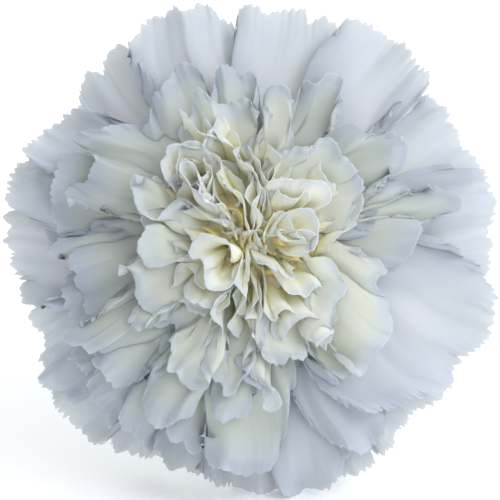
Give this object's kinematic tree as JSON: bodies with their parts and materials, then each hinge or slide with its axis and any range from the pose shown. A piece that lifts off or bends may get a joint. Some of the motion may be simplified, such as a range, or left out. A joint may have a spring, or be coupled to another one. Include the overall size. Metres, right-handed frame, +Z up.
{
  "type": "cut carnation",
  "caption": "Cut double carnation lying on a surface: a full bloom of ruffled, toothed petals on its calyx, with a short stem and a pair of leaves.",
  "frame": {"origin": "on the surface that the flower lies on, under the middle of its bounding box", "axes": "+Z up from the surface, +Y along the stem away from the bloom, +X to the right as the bloom is looked at"},
  "size_m": [0.075, 0.1024, 0.0689],
  "materials": {
    "petals": "soft white petal, cream towards the heart",
    "calyx": "smooth fresh green",
    "bracts": "smooth fresh green with dry tips",
    "stem": "waxy blue-green",
    "leaves": "waxy blue-green"
  },
  "bodies": {
    "root": {"bloom": "petals", "calyx": "calyx", "calyx_bracts": "bracts", "stem": "stem", "leaf_pair": "leaves"}
  },
  "joints": []
}
